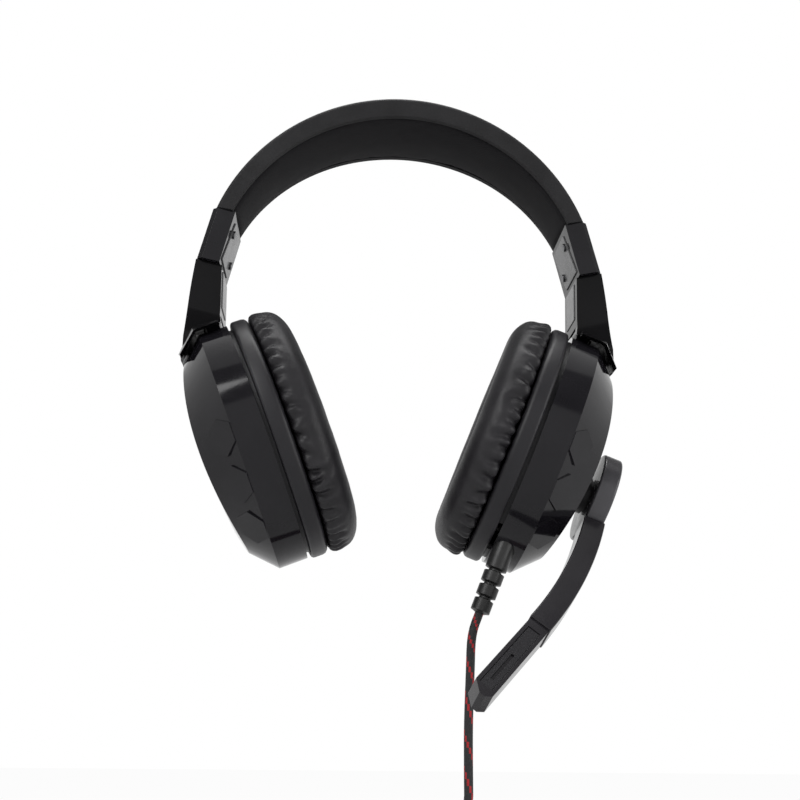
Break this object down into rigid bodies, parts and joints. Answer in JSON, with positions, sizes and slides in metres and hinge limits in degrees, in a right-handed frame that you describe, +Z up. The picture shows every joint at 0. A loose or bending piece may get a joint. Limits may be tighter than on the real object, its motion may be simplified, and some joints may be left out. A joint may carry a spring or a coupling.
{
  "type": "gaming headset",
  "caption": "Over-ear headset with padded band, sliding arms, tilting oval cups, a swinging microphone boom and a braided cord with plug.",
  "frame": {"origin": "middle of the head pad's underside, where the band rests on the head", "axes": "+Z up, the wearer faces -Y, +X to the wearer's left; the microphone is on +X"},
  "size_m": [0.1908, 0.1195, 0.4114],
  "materials": {
    "band_leatherette": "matte grained leatherette",
    "band_mesh": "fine knitted mesh",
    "spring_steel": "cold-rolled strip",
    "lead_sheath": "matte",
    "gloss_black": "piano gloss",
    "gloss_grey": "gloss",
    "satin_black": "satin moulding",
    "screw_steel": "blackened",
    "cushion_leatherette": "soft leatherette over foam",
    "ear_cloth": "acoustic cloth",
    "magnet_steel": "zinc plated",
    "diaphragm_film": "clear-grey film",
    "shaft_steel": "ground",
    "capsule_metal": "satin",
    "relief_rubber": "matte",
    "cord_braid": "braided sleeve, black with dark red flecks",
    "tie_webbing": "hook-and-loop strap",
    "plug_moulding": "satin moulding",
    "plug_plating": "gold-coloured plating"
  },
  "bodies": {
    "headband": {"headband_cover": "band_leatherette", "headband_pad": "band_mesh", "headband_spring": "spring_steel", "crossover_lead": "lead_sheath", "slider_box_right": "gloss_black", "slider_box_left": "gloss_black", "slider_cover_right": "gloss_grey", "slider_cover_left": "gloss_grey", "slider_screws_right": "screw_steel", "slider_screws_left": "screw_steel", "detent_leaf_right": "spring_steel", "detent_leaf_left": "spring_steel"},
    "arm_right": {"slider_tongue_right": "spring_steel", "yoke_arm_right": "gloss_black", "arm_liner_right": "gloss_grey", "hinge_pin_right": "spring_steel"},
    "cup_right": {"cup_housing_right": "gloss_black", "baffle_plate_right": "satin_black", "housing_screws_right": "screw_steel", "driver_frame_right": "satin_black", "driver_magnet_right": "magnet_steel", "driver_diaphragm_right": "diaphragm_film", "ear_mesh_right": "ear_cloth", "ear_cushion_right": "cushion_leatherette", "mic_base": "satin_black", "mic_washer": "shaft_steel", "strain_relief": "relief_rubber", "cord_drop": "cord_braid", "cord_coil": "cord_braid", "cord_tail": "cord_braid", "coil_tie": "tie_webbing", "plug_body": "plug_moulding", "plug_pin": "plug_plating"},
    "arm_left": {"slider_tongue_left": "spring_steel", "yoke_arm_left": "gloss_black", "arm_liner_left": "gloss_grey", "hinge_pin_left": "spring_steel"},
    "cup_left": {"cup_housing_left": "gloss_black", "baffle_plate_left": "satin_black", "housing_screws_left": "screw_steel", "driver_frame_left": "satin_black", "driver_magnet_left": "magnet_steel", "driver_diaphragm_left": "diaphragm_film", "ear_mesh_left": "ear_cloth", "ear_cushion_left": "cushion_leatherette"},
    "mic_boom": {"mic_pivot": "shaft_steel", "mic_hub": "gloss_black", "mic_boom_arm": "gloss_black", "mic_tip": "gloss_black", "mic_tip_panel": "satin_black", "mic_capsule": "capsule_metal"}
  },
  "joints": [
    {"name": "slide_right", "type": "slide", "parent": "headband", "child": "arm_right", "axis": [0.2198, 0, -0.9755], "range_m": [0, 0.02]},
    {"name": "slide_left", "type": "slide", "parent": "headband", "child": "arm_left", "axis": [-0.2198, 0, -0.9755], "range_m": [0, 0.02]},
    {"name": "tilt_right", "type": "hinge", "parent": "arm_right", "child": "cup_right", "pos_m": [0.08184, 0, -0.09708], "axis": [0, -1, 0], "range_deg": [-6, 5]},
    {"name": "tilt_left", "type": "hinge", "parent": "arm_left", "child": "cup_left", "pos_m": [-0.08184, 0, -0.09708], "axis": [0, 1, 0], "range_deg": [-6, 5]},
    {"name": "mic_boom_turn", "type": "hinge", "parent": "cup_right", "child": "mic_boom", "pos_m": [0.08507, 0, -0.17042], "axis": [-0.9298, 0, 0.3681], "range_deg": [-10, 110]}
  ]
}
